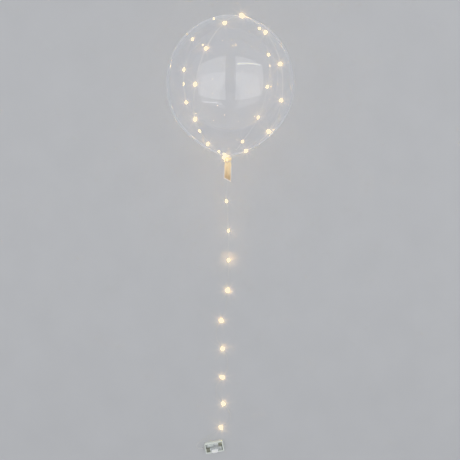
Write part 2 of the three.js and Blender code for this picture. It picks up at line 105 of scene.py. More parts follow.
def even_path(points, spacing):
    """The same line in steps of one length."""
    total = sum((b - a).length for a, b in zip(points, points[1:]))
    step = total / round(total / spacing)
    even = [points[0].copy()]
    done = 0.0
    wanted = step
    for a, b in zip(points, points[1:]):
        length = (b - a).length
        while wanted <= done + length + 1e-9 and wanted < total - step / 2:
            even.append(a.lerp(b, (wanted - done) / length))
            wanted += step
        done += length
    even.append(points[-1].copy())
    return even


def only(piece):
    """This piece alone is selected and active."""
    bpy.ops.object.select_all(action="DESELECT")
    piece.select_set(True)
    bpy.context.view_layer.objects.active = piece


def tube_mesh(name, lines, radius, sides=1):
    """Round wires of one thickness along these lines, as one mesh."""
    curve = bpy.data.curves.new(name, "CURVE")
    curve.dimensions = "3D"
    curve.bevel_depth = radius
    curve.bevel_resolution = sides
    curve.use_fill_caps = True
    for line in lines:
        spline = curve.splines.new("POLY")
        spline.points.add(len(line) - 1)
        for point, place in zip(spline.points, line):
            point.co = (*place, 1)
    tube = bpy.data.objects.new(name, curve)
    bpy.context.scene.collection.objects.link(tube)
    only(tube)
    bpy.ops.object.convert(target="MESH")
    bpy.ops.object.shade_smooth()
    return bpy.context.object


def twisted_wire(name, points):
    """Fine strands laid round each other along these points."""
    along = [(b - a).normalized() for a, b in zip(points, points[1:])]
    along.append(along[-1])
    side = along[0].orthogonal().normalized()
    strands = [[] for strand in range(strand_count)]
    run = 0.0
    for index, place in enumerate(points):
        side = (side - along[index] * side.dot(along[index])).normalized()
        across = along[index].cross(side)
        for number, strand in enumerate(strands):
            angle = 2 * math.pi * (run / strand_turn + number / strand_count)
            strand.append(place + strand_offset * (side * math.cos(angle) + across * math.sin(angle)))
        if index + 1 < len(points):
            run += (points[index + 1] - place).length
    return tube_mesh(name, strands, strand_radius)


def finish_of(name, colour, **sockets):
    """A surface whose uniform values stand on the shader's own sockets."""
    surface = bpy.data.materials.new(name)
    surface.use_nodes = True
    shader = surface.node_tree.nodes["Principled BSDF"]
    shader.inputs["Base Color"].default_value = (*colour, 1)
    for socket, value in sockets.items():
        shader.inputs[socket.replace("_", " ")].default_value = value
    return surface


def add_grain(surface, scale, light, dark, rough, bump, stretch=(1, 1, 1), detail=4):
    """Fine unevenness of colour, gloss and height, in the object's own coordinates."""
    nodes = surface.node_tree.nodes
    links = surface.node_tree.links
    shader = nodes["Principled BSDF"]
    place = nodes.new("ShaderNodeTexCoord")
    turn = nodes.new("ShaderNodeMapping")
    turn.inputs["Scale"].default_value = stretch
    links.new(place.outputs["Object"], turn.inputs["Vector"])
    grain = nodes.new("ShaderNodeTexNoise")
    grain.inputs["Scale"].default_value = scale
    grain.inputs["Detail"].default_value = detail
    links.new(turn.outputs["Vector"], grain.inputs["Vector"])
    tint = nodes.new("ShaderNodeValToRGB")
    tint.color_ramp.elements[0].position = 0.3
    tint.color_ramp.elements[0].color = (*dark, 1)
    tint.color_ramp.elements[1].position = 0.7
    tint.color_ramp.elements[1].color = (*light, 1)
    links.new(grain.outputs["Fac"], tint.inputs["Fac"])
    links.new(tint.outputs["Color"], shader.inputs["Base Color"])
    gloss = nodes.new("ShaderNodeMapRange")
    gloss.inputs["To Min"].default_value = rough[0]
    gloss.inputs["To Max"].default_value = rough[1]
    links.new(grain.outputs["Fac"], gloss.inputs["Value"])
    links.new(gloss.outputs["Result"], shader.inputs["Roughness"])
    relief = nodes.new("ShaderNodeBump")
    relief.inputs["Strength"].default_value = bump[0]
    relief.inputs["Distance"].default_value = bump[1]
    links.new(grain.outputs["Fac"], relief.inputs["Height"])
    links.new(relief.outputs["Normal"], shader.inputs["Normal"])
    return surface


def seat(piece, node):
    """The piece rides on the balloon and stands for its solid."""
    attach(piece, "root")
    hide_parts(node)


def dress(piece, surface, node):
    """The piece gets its finish and its seat."""
    piece.data.materials.clear()
    piece.data.materials.append(surface)
    seat(piece, node)


cord_route = []
for across, along, fall, rise in cord_places:
    height = cord_floor_height + fall * (cord_exit.z - cord_floor_height)
    height += rise * (relief_axis_height - cord_floor_height)
    cord_route.append(Vector((cord_exit.x + across / 1000, cord_exit.y + along / 1000, height)))
cord_path = even_path(smooth_path(cord_route), wire_step)
wire_finish = finish_of("lacquered_wire", (0.97, 0.95, 0.9), Metallic=0.3, Coat_Weight=0.5)
add_grain(wire_finish, 900, (1.0, 0.98, 0.94), (0.92, 0.89, 0.83), (0.16, 0.3), (0.3, 0.00005))
light_string = twisted_wire("light_string", cord_path)
dress(light_string, wire_finish, "light_cord")

# Light beads: a tiny warm-white chip soldered across the wires under a drop of clear resin.
# Each is cast round the wire, so the wire goes in at one pointed end and out at the other.
bead_radius = 0.0019
bead_half = 0.00325
bead_overlong = 1.06
body_share = 0.86
collar_start = 0.72
collar_taper = 0.8
chip_size = (0.0011, 0.0009, 0.0021)
chip_edge = 0.00018
resin_finish = finish_of(
    "glowing_resin",
    (1.0, 0.93, 0.78),
    Transmission_Weight=0.6,
    IOR=1.5,
    Emission_Color=(1.0, 0.68, 0.3, 1),
    Emission_Strength=18.0,
)
add_grain(resin_finish, 700, (1.0, 0.95, 0.84), (1.0, 0.88, 0.66), (0.08, 0.22), (0.2, 0.00008))
chip_finish = finish_of(
    "light_chip",
    (1.0, 0.82, 0.4),
    Emission_Color=(1.0, 0.78, 0.44, 1),
    Emission_Strength=90.0,
)
add_grain(chip_finish, 2500, (1.0, 0.86, 0.5), (0.95, 0.72, 0.28), (0.3, 0.6), (0.3, 0.00003))


def plain_block(size, place):
    """A block of this size at its place, ready to be shaped."""
    bpy.ops.object.select_all(action="DESELECT")
    bpy.ops.mesh.primitive_cube_add(size=1, scale=size, location=place)
    block = bpy.context.object
    bpy.ops.object.transform_apply(location=True, rotation=True, scale=True)
    bpy.ops.object.mode_set(mode="EDIT")
    return block


def softened_block(size, place, edge, segments=2):
    """A block of this size with its edges rounded off."""
    block = plain_block(size, place)
    bpy.ops.mesh.select_all(action="SELECT")
    bpy.ops.mesh.bevel(offset=edge, segments=segments)
    bpy.ops.object.mode_set(mode="OBJECT")
    return block


def join_into(piece, others):
    """The others become part of the piece's mesh, and the piece alone stays selected."""
    only(piece)
    for other in others:
        other.select_set(True)
    bpy.ops.object.join()


bpy.ops.object.select_all(action="DESELECT")
bpy.ops.mesh.primitive_uv_sphere_add(segments=16, ring_count=12, radius=bead_radius)
bead_model = bpy.context.object
bead_model.name = "bead_model"
bpy.ops.object.mode_set(mode="EDIT")
bpy.ops.mesh.select_all(action="SELECT")
bpy.ops.transform.resize(value=(1, 1, bead_half / bead_radius * bead_overlong))
for end in (1, -1):
    collar = bead_half * (1 - body_share) * end
    bpy.ops.mesh.select_all(action="SELECT")
    bpy.ops.mesh.bisect(
        plane_co=(0, 0, bead_half * body_share * end),
        plane_no=(0, 0, end),
        clear_outer=True,
    )
    bpy.ops.mesh.extrude_region_move()
    bpy.ops.transform.resize(value=(collar_start, collar_start, 1))
    bpy.ops.mesh.extrude_region_move(TRANSFORM_OT_translate={"value": (0, 0, collar)})
    bpy.ops.transform.resize(value=(collar_taper, collar_taper, 1))
    bpy.ops.mesh.edge_face_add()
bpy.ops.mesh.select_all(action="SELECT")
bpy.ops.mesh.normals_make_consistent(inside=False)
bpy.ops.object.mode_set(mode="OBJECT")
bpy.ops.object.shade_smooth_by_angle(angle=math.radians(40))
bead_model.data.materials.append(resin_finish)
chip_model = softened_block(chip_size, (0, bead_radius * 0.3, 0), chip_edge, 1)
chip_model.data.materials.append(chip_finish)
join_into(bead_model, [chip_model])


def light_bead(name, node, path):
    """A copy of the bead where that solid is, turned along the wire."""
    low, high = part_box(node)
    centre = (low + high) / 2
    near = min(range(1, len(path) - 1), key=lambda i: (path[i] - centre).length_squared)
    along = path[near + 1] - path[near - 1]
    bead = bead_model.copy()
    bead.data = bead_model.data.copy()
    bead.name = name
    bpy.context.scene.collection.objects.link(bead)
    bead.data.transform(Matrix.Translation(centre) @ along.to_track_quat("Z", "Y").to_matrix().to_4x4())
    seat(bead, node)
    return bead


for number in range(1, 10):
    node = f"led_string_{number:02d}"
    light_bead(f"string_light_{number:02d}", node, cord_path)

# Film bubble: one blown piece of thin clear film, gathered into a neck and left as a flat
# tail past the tie, with its end cut aslant. It lies on its side with a small flat spot.
bubble_radius = 0.1845
crown_height = 0.195
shoulder_depth = 0.186
bottom_depth = shoulder_depth + 0.017
bottom_taper = 0.2
neck_radius = 0.009
shoulder_run = 0.028
neck_start = shoulder_depth + shoulder_run
tie_at = neck_start + 0.009
waist_radius = 0.008
tie_width = 0.004
tail_width = 0.0216
tail_thickness = 0.0032
tail_flat_at = tie_at + 0.016
tail_end = 0.286
tail_cut = math.radians(28)
neck_droop = math.radians(12)
neck_lean = math.radians(-1.7)
flat_spot_depth = 0.0033
film_thickness = 0.00014
film_sides = 144
touching = 0.00001
draw_in_start = 0.003
draw_in_end = 0.0012
early_gather_start = 0.12
early_gather_full = 0.19
early_gather_depth = 0.0004
gather_start = 0.15
gather_depth = 0.0009
gathers = [(9, 0.45, 0.4), (16, 0.3, 2.1), (25, 0.25, 1.2)]  # folds round the neck, share, start
creases = [(900, 14, 0), (1700, 0, 1.3)]  # rate across the tail, rate along it, start
crease_depth = 0.00045
tail_wave_rate = 70
tail_wave_depth = 0.0012
# the painted glow on the tail is uneven in long streaks of this size and strength
streak_scale = 500
streak_stretch = 0.06
painted_glow_dim = 0.1
painted_glow_bright = 1.6
foot_height = 0.02
foot_softness = 0.0008
foot_lift = 0.0002
cut_band = 0.003
fold_band = 0.43
rest_height = math.hypot(bubble_radius * math.cos(neck_droop), crown_height * math.sin(neck_droop))
rest_height -= flat_spot_depth
as_it_lies = Matrix.Translation((0, 0, rest_height))
as_it_lies @= Matrix.Rotation(neck_lean, 4, "Z") @ Matrix.Rotation(neck_droop, 4, "X")


def film_outline(crown_steps, bottom_steps, shoulder_steps):
    """Radius and height of the bubble's outline, from the crown to the straight neck."""
    points = []
    for i in range(crown_steps + 1):
        angle = i / crown_steps * math.pi / 2
        points.append(Vector((bubble_radius * math.sin(angle), crown_height * math.cos(angle))))
    for i in range(1, bottom_steps + 1):
        share = i / bottom_steps * shoulder_depth / bottom_depth
        radius = bubble_radius * math.sqrt(1 - share**2) * (1 - bottom_taper * share**3)
        points.append(Vector((radius, -share * bottom_depth)))
    shoulder = points[-1]
    run = (shoulder - points[-2]).normalized()
    out = shoulder + run * (shoulder.x - neck_radius) * 0.5
    into = Vector((neck_radius, shoulder_run * 0.45 - neck_start))
    neck = Vector((neck_radius, -neck_start))
    for i in range(1, shoulder_steps + 1):
        t = i / shoulder_steps
        place = shoulder * (1 - t) ** 3 + out * 3 * t * (1 - t) ** 2
        place += into * 3 * t**2 * (1 - t) + neck * t**3
        points.append(place)
    return points


def ease(value, low, high):
    """From 0 at the low value to 1 at the high one, with soft ends."""
    share = min(1, max(0, (value - low) / (high - low)))
    return share * share * (3 - 2 * share)


def spun(name, outline, edges, steps):
    """The outline spun round the bubble's axis into a surface without seams."""
    mesh = bpy.data.meshes.new(name)
    mesh.from_pydata(outline, edges, [])
    piece = bpy.data.objects.new(name, mesh)
    bpy.context.scene.collection.objects.link(piece)
    only(piece)
    bpy.ops.object.mode_set(mode="EDIT")
    bpy.ops.mesh.select_all(action="SELECT")
    bpy.ops.mesh.spin(steps=steps, angle=2 * math.pi, center=(0, 0, 0), axis=(0, 1, 0))
    bpy.ops.mesh.select_all(action="SELECT")
    bpy.ops.mesh.remove_doubles(threshold=touching)
    bpy.ops.mesh.normals_make_consistent(inside=False)
    bpy.ops.object.mode_set(mode="OBJECT")
    return piece


profile = film_outline(44, 40, 18)
waist_top = tie_at - tie_width / 2
waist_foot = tie_at + tie_width / 2
profile.append(Vector((neck_radius, -(waist_top - draw_in_start))))
profile.append(Vector((neck_radius, -(waist_top - draw_in_end))))
profile.append(Vector((waist_radius, -waist_top)))
tail_rows = 34
tail_length = tail_end + tail_width / 2 - waist_foot
for i in range(tail_rows + 1):
    profile.append(Vector((waist_radius, -(waist_foot + tail_length * i / tail_rows))))
film_section = [(place.x, place.y, 0) for place in profile]
film_edges = [(i, i + 1) for i in range(len(film_section) - 1)]
film = spun("film_bubble", film_section, film_edges, film_sides)

# the gathers deepen towards the tie, and the tail past it is pressed flat with long creases
for vertex in film.data.vertices:
    depth = -vertex.co.y
    radius = math.hypot(vertex.co.x, vertex.co.z)
    if depth < early_gather_start or radius < 0.0001:
        continue
    azimuth = math.atan2(vertex.co.x, vertex.co.z)
    fold = sum(share * math.sin(count * azimuth + start) for count, share, start in gathers)
    pull = gather_depth * ease(depth, gather_start, neck_start)
    pull += early_gather_depth * ease(depth, early_gather_start, early_gather_full)
    flatten = ease(depth, waist_foot, tail_flat_at)
    swell = 1 + (pull * fold * (1 - flatten)) / radius
    half_width = waist_radius + (tail_width / 2 - waist_radius) * flatten
    half_thickness = waist_radius + (tail_thickness / 2 - waist_radius) * flatten
    if depth > tie_at:
        vertex.co.x *= swell * half_width / waist_radius
        vertex.co.z *= swell * half_thickness / waist_radius
        crease = 0.0
        for across_rate, along_rate, start in creases:
            crease += 0.5 * math.sin(vertex.co.x * across_rate + along_rate * depth + start)
        vertex.co.z += crease_depth * flatten * crease
        vertex.co.z += tail_wave_depth * flatten * math.sin((depth - tail_flat_at) * tail_wave_rate)
    else:
        vertex.co.x *= swell
        vertex.co.z *= swell
only(film)
bpy.ops.object.mode_set(mode="EDIT")
bpy.ops.mesh.select_all(action="SELECT")
bpy.ops.mesh.bisect(
    plane_co=(tail_width / 2, -tail_end, 0),
    plane_no=(-math.sin(tail_cut), -math.cos(tail_cut), 0),
    clear_outer=True,
)
bpy.ops.object.mode_set(mode="OBJECT")
film.data.transform(as_it_lies)
for vertex in film.data.vertices:
    if vertex.co.z < foot_height:
        pressed = math.log(1 + math.exp(vertex.co.z / foot_softness))
        vertex.co.z = foot_softness * pressed + foot_lift
wall = film.modifiers.new("wall", "SOLIDIFY")
wall.thickness = film_thickness
wall.offset = -1
bpy.ops.object.modifier_apply(modifier="wall")
bpy.ops.object.shade_smooth()


def add_painted_glow(surface, start, end, strength, painted_bright_tint, painted_dim_tint):
    """Painted glow on the film: emission and a warm tint stand in for the beads' light scattered in it,
    brightest at the tie and fading to the cut end.
    """
    nodes = surface.node_tree.nodes
    links = surface.node_tree.links
    place = nodes.new("ShaderNodeTexCoord")
    down = nodes.new("ShaderNodeSeparateXYZ")
    links.new(place.outputs["Object"], down.inputs["Vector"])
    # painted glow: emission strongest at the tie, none at the cut end
    fade = nodes.new("ShaderNodeMapRange")
    fade.inputs["From Min"].default_value = -start
    fade.inputs["From Max"].default_value = -end
    fade.inputs["To Min"].default_value = strength
    fade.inputs["To Max"].default_value = 0.0
    links.new(down.outputs["Y"], fade.inputs["Value"])
    streaks = nodes.new("ShaderNodeTexNoise")
    streaks.inputs["Scale"].default_value = streak_scale
    stretch = nodes.new("ShaderNodeMapping")
    stretch.inputs["Scale"].default_value = (1, streak_stretch, 1)
    links.new(place.outputs["Object"], stretch.inputs["Vector"])
    links.new(stretch.outputs["Vector"], streaks.inputs["Vector"])
    uneven = nodes.new("ShaderNodeMapRange")
    uneven.inputs["To Min"].default_value = painted_glow_dim
    uneven.inputs["To Max"].default_value = painted_glow_bright
    links.new(streaks.outputs["Fac"], uneven.inputs["Value"])
    both = nodes.new("ShaderNodeMath")
    both.operation = "MULTIPLY"
    links.new(fade.outputs["Result"], both.inputs[0])
    links.new(uneven.outputs["Result"], both.inputs[1])
    links.new(both.outputs["Value"], nodes["Principled BSDF"].inputs["Emission Strength"])
    # painted light: the film's colour is tinted pale near the tie and dark amber towards the cut end
    share = nodes.new("ShaderNodeMapRange")
    share.inputs["From Min"].default_value = -start
    share.inputs["From Max"].default_value = -end
    links.new(down.outputs["Y"], share.inputs["Value"])
    tint = nodes.new("ShaderNodeValToRGB")
    tint.color_ramp.elements[0].color = (*painted_bright_tint, 1)
    tint.color_ramp.elements[1].color = (*painted_dim_tint, 1)
    links.new(share.outputs["Result"], tint.inputs["Fac"])
    blend = nodes.new("ShaderNodeMix")
    blend.data_type = "RGBA"
    blend.blend_type = "MULTIPLY"
    blend.inputs["Factor"].default_value = 1.0
    colour_in = nodes["Principled BSDF"].inputs["Base Color"]
    links.new(colour_in.links[0].from_socket, blend.inputs["A"])
    links.new(tint.outputs["Color"], blend.inputs["B"])
    links.new(blend.outputs["Result"], colour_in)


film_finish = finish_of(
    "clear_film",
    (0.97, 0.975, 0.985),
    Transmission_Weight=0.97,
    IOR=1.62,
    Sheen_Weight=0.9,
    Sheen_Roughness=0.32,
    Sheen_Tint=(0.95, 0.97, 1.0, 1),
)
film_light = (0.985, 0.985, 0.99)
film_dark = (0.955, 0.96, 0.975)
add_grain(film_finish, 22, film_light, film_dark, (0.015, 0.035), (0.05, 0.0006), detail=2)
# the creased tail is hazier film; its amber colour, which fades from the tie to the cut end, and its glow
# are painted light from the beads near the tie
creased_film_painted_glow = finish_of(
    "creased_film_painted_glow",
    (0.95, 0.84, 0.64),
    Transmission_Weight=0.4,
    IOR=1.5,
    Emission_Color=(1.0, 0.72, 0.34, 1),
)
add_grain(creased_film_painted_glow, 260, (0.97, 0.9, 0.76), (0.8, 0.68, 0.5), (0.3, 0.5), (0.4, 0.0003), (1, 0.1, 1))
add_painted_glow(creased_film_painted_glow, tie_at, tail_end, 0.2, (0.98, 0.95, 0.88), (0.6, 0.46, 0.3))
cut_edge = finish_of("cut_film_edge", (0.98, 0.9, 0.86), Transmission_Weight=0.05, IOR=1.5)
add_grain(cut_edge, 400, (1.0, 0.93, 0.89), (0.94, 0.85, 0.8), (0.3, 0.5), (0.2, 0.0001))
dress(film, film_finish, "balloon_film")
film.data.materials.append(creased_film_painted_glow)
film.data.materials.append(cut_edge)
to_balloon = as_it_lies.inverted()
creased_from = neck_start - 0.004
for polygon in film.data.polygons:
    middle = to_balloon @ polygon.center
    depth = -middle.y
    if depth < creased_from:
        continue
    above_cut = (middle.x - tail_width / 2) * math.sin(tail_cut)
    above_cut += (tail_end - depth) * math.cos(tail_cut)
    at_fold = depth > tail_flat_at and abs(middle.x) > tail_width * fold_band
    polygon.material_index = 2 if above_cut < cut_band or at_fold else 1
# so thin a film neither shades the floor nor holds back the light that the floor gives off
film.visible_shadow = False
film.visible_diffuse = False

# Tie: a narrow clear plastic band drawn tight round the gathered neck, with fine teeth on its
# outside, a small lock and its end cut off short at the left.
tie_gap = 0.0003
tie_thickness = 0.0018
tie_inner = waist_radius + tie_gap
tie_outer = tie_inner + tie_thickness
inner_edge = 0.0003
outer_edge = (0.0004, 0.0005)
tooth_count = 60
tooth_depth = 0.012
tip_size = (0.0044, 0.0024, 0.0018)
tip_place = (-0.0123, -0.001, 0)
tip_edge = 0.0003
lock_size = (0.0026, 0.0044, 0.0034)
lock_place = (-0.0106, -0.0002, 0)
lock_edge = 0.0005
band = [
    (tie_inner, -tie_width / 2 + inner_edge, 0),
    (tie_inner + inner_edge, -tie_width / 2, 0),
    (tie_outer - outer_edge[0], -tie_width / 2, 0),
    (tie_outer, -tie_width / 2 + outer_edge[1], 0),
    (tie_outer, tie_width / 2 - outer_edge[1], 0),
    (tie_outer - outer_edge[0], tie_width / 2, 0),
    (tie_inner + inner_edge, tie_width / 2, 0),
    (tie_inner, tie_width / 2 - inner_edge, 0),
]
band_edges = [(i, (i + 1) % len(band)) for i in range(len(band))]
tie = spun("neck_band", band, band_edges, 2 * tooth_count)
for vertex in tie.data.vertices:
    radius = math.hypot(vertex.co.x, vertex.co.z)
    if radius > tie_inner + tie_thickness * 0.9:
        azimuth = math.atan2(vertex.co.x, vertex.co.z)
        notch = 1 - tooth_depth * (0.5 + 0.5 * math.cos(tooth_count * azimuth))
        vertex.co.x *= notch
        vertex.co.z *= notch
tie_tip = softened_block(tip_size, tip_place, tip_edge)
tie_lock = softened_block(lock_size, lock_place, lock_edge)
join_into(tie, [tie_tip, tie_lock])
bpy.ops.object.shade_smooth_by_angle(angle=math.radians(35))
tie.data.transform(as_it_lies @ Matrix.Translation((0, -tie_at, 0)))
tie_finish = finish_of("clear_band", (0.93, 0.93, 0.9), Transmission_Weight=0.7, IOR=1.5)
add_grain(tie_finish, 500, (0.96, 0.96, 0.93), (0.86, 0.86, 0.82), (0.2, 0.4), (0.2, 0.0001))
dress(tie, tie_finish, "neck_tie")

# Held wire: the same string goes on behind the tail, makes a loose turn round the neck, and
# goes twice over the crown between its turns. It stands off the film by the beads' radius.
wire_diameter = 0.0012
bead_lift = bead_radius + 0.0004
crossing_lift = wire_diameter + 0.0009
over_lift = bead_lift + crossing_lift
neck_lift = bead_lift + wire_diameter / 2
neck_over_lift = neck_lift + crossing_lift
loose_lift = bead_lift + 0.0025
tail_clear = tail_thickness / 2 + bead_lift
tie_clear = tie_outer + tie_gap + wire_diameter / 2
azimuth_step = 24
over_film = 1.04
route_clear = 0.0003
lift_apart = 0.0001
wire_line = film_outline(11, 9, 6)
wire_line_to_tie = [*wire_line, Vector((neck_radius, -tie_at))]


def stand_off(place, lift):
    """The place moved to stand off the film by that much."""
    flat = Vector((math.hypot(place.x, place.z), place.y))
    least = math.inf
    lifted = None
    for upper, lower in zip(wire_line_to_tie, wire_line_to_tie[1:]):
        run = lower - upper
        share = min(1, max(0, (flat - upper).dot(run) / run.length_squared))
        foot = upper + run * share
        if (foot - flat).length < least:
            least = (foot - flat).length
            lifted = foot + Vector((-run.y, run.x)).normalized() * lift
    azimuth = math.atan2(place.x, place.z)
    return Vector((lifted.x * math.sin(azimuth), lifted.y, lifted.x * math.cos(azimuth)))


def on_bubble(azimuth, polar, lift=bead_lift):
    """A place on the bubble, by its turn round the axis and its angle from the crown."""
    azimuth, polar = math.radians(azimuth), math.radians(polar)
    reach = bubble_radius * over_film
    flat = reach * math.sin(polar)
    rough = Vector((flat * math.sin(azimuth), reach * math.cos(polar), flat * math.cos(azimuth)))
    return stand_off(rough, lift), lift


def on_neck(azimuth, depth, lift=neck_lift):
    """A place on the neck, by its turn round the axis and its depth under the widest ring."""
    azimuth = math.radians(azimuth)
    index = next((i for i, p in enumerate(wire_line) if p.y <= -depth), len(wire_line))
    above = wire_line[min(index - 1, len(wire_line) - 1)]
    below = wire_line[min(index, len(wire_line) - 1)]
    span = above.y - below.y
    share = (above.y + depth) / span if span > 0 else 0
    radius = above.x + (below.x - above.x) * share + lift
    return stand_off(Vector((radius * math.sin(azimuth), -depth, radius * math.cos(azimuth))), lift), lift


def under_tail(depth, reach):
    """A place behind the tail, this far from its middle plane."""
    return Vector((0, -depth, -reach)), 0


def turn_round(from_azimuth, to_azimuth, from_depth, to_depth, lift=neck_lift):
    """Places along a turn round the neck."""
    steps = math.ceil(abs(to_azimuth - from_azimuth) / azimuth_step)
    turn = []
    for i in range(steps + 1):
        share = i / steps
        azimuth = from_azimuth + (to_azimuth - from_azimuth) * share
        turn.append(on_neck(azimuth, from_depth + (to_depth - from_depth) * share, lift))
    return turn


def up(start, end, share):
    """The depth at this share of the way from the start to the end."""
    return start + (end - start) * share


wire_route = [
    under_tail(up(tail_end, tail_flat_at, 0.15), tail_clear),
    under_tail(up(tail_end, tail_flat_at, 0.47), tail_clear),
    under_tail(up(tail_end, tail_flat_at, 0.81), tail_clear),
    under_tail(up(tail_end, tail_flat_at, 0.94), tail_clear + route_clear),
    under_tail(up(tail_flat_at, tie_at, 0.31), (tail_clear + tie_clear) / 2),
    under_tail(up(tail_flat_at, tie_at, 0.72), tie_clear),
    under_tail(up(tie_at, neck_start, 0.05), tie_clear + route_clear),
]
wire_route += turn_round(176, -56, up(tie_at, neck_start, 0.33), up(tie_at, neck_start, 0.78), loose_lift)
wire_route += [
    on_neck(-48, up(neck_start, shoulder_depth, 0.21), loose_lift),
    on_neck(-42, up(neck_start, shoulder_depth, 0.43)),
]
left_and_right = [
    (-36, 166), (-35, 145), (-34, 116), (-30, 87), (-25, 58), (-13, 29), (53, 9), (132, 36),
    (138, 66), (142, 94), (145, 123), (150, 150), (151, 167),
]
wire_route += [on_bubble(azimuth, polar) for azimuth, polar in left_and_right]
wire_route += [
    on_neck(151, up(neck_start, shoulder_depth, 0.36), neck_over_lift),
    on_neck(154, up(neck_start, shoulder_depth, 0.21), neck_over_lift),
]
wire_route += turn_round(
    178, 398, up(neck_start, shoulder_depth, 0.125), up(neck_start, shoulder_depth, 0.18)
)
wire_route.append(on_neck(408, up(neck_start, shoulder_depth, 0.36)))
right_side = [(48, 166), (51, 148), (52, 131), (51, 102), (51, 72), (51, 42), (51, 24)]
wire_route += [on_bubble(azimuth, polar) for azimuth, polar in right_side]
wire_route += [
    on_bubble(52, 16, (bead_lift + over_lift) / 2),
    on_bubble(53, 9, over_lift),
    on_bubble(40, 1, (bead_lift + over_lift) / 2),
]
left_side = [
    (-127, 8), (-126, 20), (-126, 45), (-129, 75), (-130, 103), (-132, 132), (-133, 150), (-134, 167),
]
wire_route += [on_bubble(azimuth, polar) for azimuth, polar in left_side]
wire_route += turn_round(
    222, 80, up(neck_start, shoulder_depth, 0.32), up(neck_start, shoulder_depth, 0.11)
)
wire_places = smooth_path([place for place, lift in wire_route])
# the lifts follow the route on a line of their own, whose places are kept a little apart
lift_route = []
for index, (place, lift) in enumerate(wire_route):
    apart = lift_apart * index
    lift_route.append(Vector((lift + apart, apart, 0)))
wire_lifts = smooth_path(lift_route)
held_points = []
for place, lift in zip(wire_places, wire_lifts):
    stand = lift.x - lift.y
    held_points.append(as_it_lies @ (stand_off(place, stand) if stand > 0.9 * bead_lift else place))
held_path = even_path(held_points, wire_step)
held_wire = twisted_wire("held_wire", held_path)
dress(held_wire, wire_finish, "light_wire")
for number in range(1, 27):
    light_bead(f"balloon_light_{number:02d}", f"led_balloon_{number:02d}", held_path)
bpy.data.objects.remove(bead_model)

# Battery box: a tray and a lid of clear moulded plastic. The lid stands on the tray's rim and
# lifts off by the tab on its long side. The whole box lies a little askew on the floor.
case_wall = 0.0016
cell_diameter = 0.0142
cell_length = 0.0493
cell_tip = 0.0012
spring_length = 0.0038
plate_thickness = 0.0004
gap = 0.0003
cell_gap = 0.0005
room_length = cell_length + cell_tip + spring_length + 2 * plate_thickness + 4 * gap
room_width = 2 * cell_diameter + 3 * cell_gap
case_length = room_length + 2 * case_wall
case_width = room_width + 2 * case_wall
corner_radius = 0.0035
foot_radius = 0.0009
rim_edge = 0.0003
room_edge = 0.0004
panel_margin = 0.002
panel_step = 0.0003
cell_height = case_wall + gap + cell_diameter / 2
tray_height = cell_height + cell_diameter / 4
lid_top = cell_height + cell_diameter / 2 + gap + case_wall
relief_length = 0.006
box_turn = math.radians(10)
lead_end = cord_path[-1]
box_reach = case_length / 2 + relief_length + 2 * gap
box_centre = Vector((lead_end.x, lead_end.y, 0))
box_centre += Vector((math.cos(box_turn), math.sin(box_turn), 0)) * box_reach
as_box_lies = Matrix.Translation(box_centre) @ Matrix.Rotation(box_turn, 4, "Z")


def pick(piece, kind, test):
    """In edit mode, only the edges or faces that pass the test are selected."""
    bpy.ops.mesh.select_mode(type=kind)
    bpy.ops.mesh.select_all(action="DESELECT")
    bpy.ops.object.mode_set(mode="OBJECT")
    corners = piece.data.vertices
    for part in piece.data.edges if kind == "EDGE" else piece.data.polygons:
        part.select = test([corners[i].co for i in part.vertices])
    bpy.ops.object.mode_set(mode="EDIT")


def moulded_shell(name, height):
    """A rounded rectangular shell, open at its top, with a softened foot and pale thick edges."""
    shell = plain_block((case_length, case_width, height), (0, 0, height / 2))
    shell.name = name
    pick(shell, "EDGE", lambda ends: abs(ends[0].z - ends[1].z) > height / 2)
    bpy.ops.mesh.bevel(offset=corner_radius, segments=6)
    pick(shell, "EDGE", lambda ends: max(e.z for e in ends) < height * 0.01)
    bpy.ops.mesh.bevel(offset=foot_radius, segments=3)
    pick(shell, "FACE", lambda ends: min(e.z for e in ends) > height * 0.99)
    bpy.ops.mesh.inset(thickness=rim_edge)
    bpy.ops.mesh.inset(thickness=case_wall - rim_edge)
    bpy.ops.mesh.extrude_region_move(TRANSFORM_OT_translate={"value": (0, 0, case_wall - height)})
    bpy.ops.mesh.inset(thickness=room_edge)
    bpy.ops.transform.translate(value=(0, 0, -room_edge / 4))
    pick(shell, "FACE", lambda ends: max(e.z for e in ends) < touching)
    bpy.ops.mesh.inset(thickness=panel_margin)
    bpy.ops.mesh.inset(thickness=room_edge)
    bpy.ops.transform.translate(value=(0, 0, panel_step))
    bpy.ops.object.mode_set(mode="OBJECT")
    shell.data.materials.append(clear_plastic)
    shell.data.materials.append(pale_rim)
    for polygon in shell.data.polygons:
        middle = polygon.center
        at_end = abs(middle.x) > case_length / 2 - case_wall - panel_margin
        at_side = abs(middle.y) > case_width / 2 - case_wall - panel_margin
        polygon.material_index = 1 if at_end or at_side else 0
    return shell


def rib(size, place):
    """A small bar whose edges are rounded by a fifth of its thinnest side."""
    return softened_block(size, place, min(size) / 5)


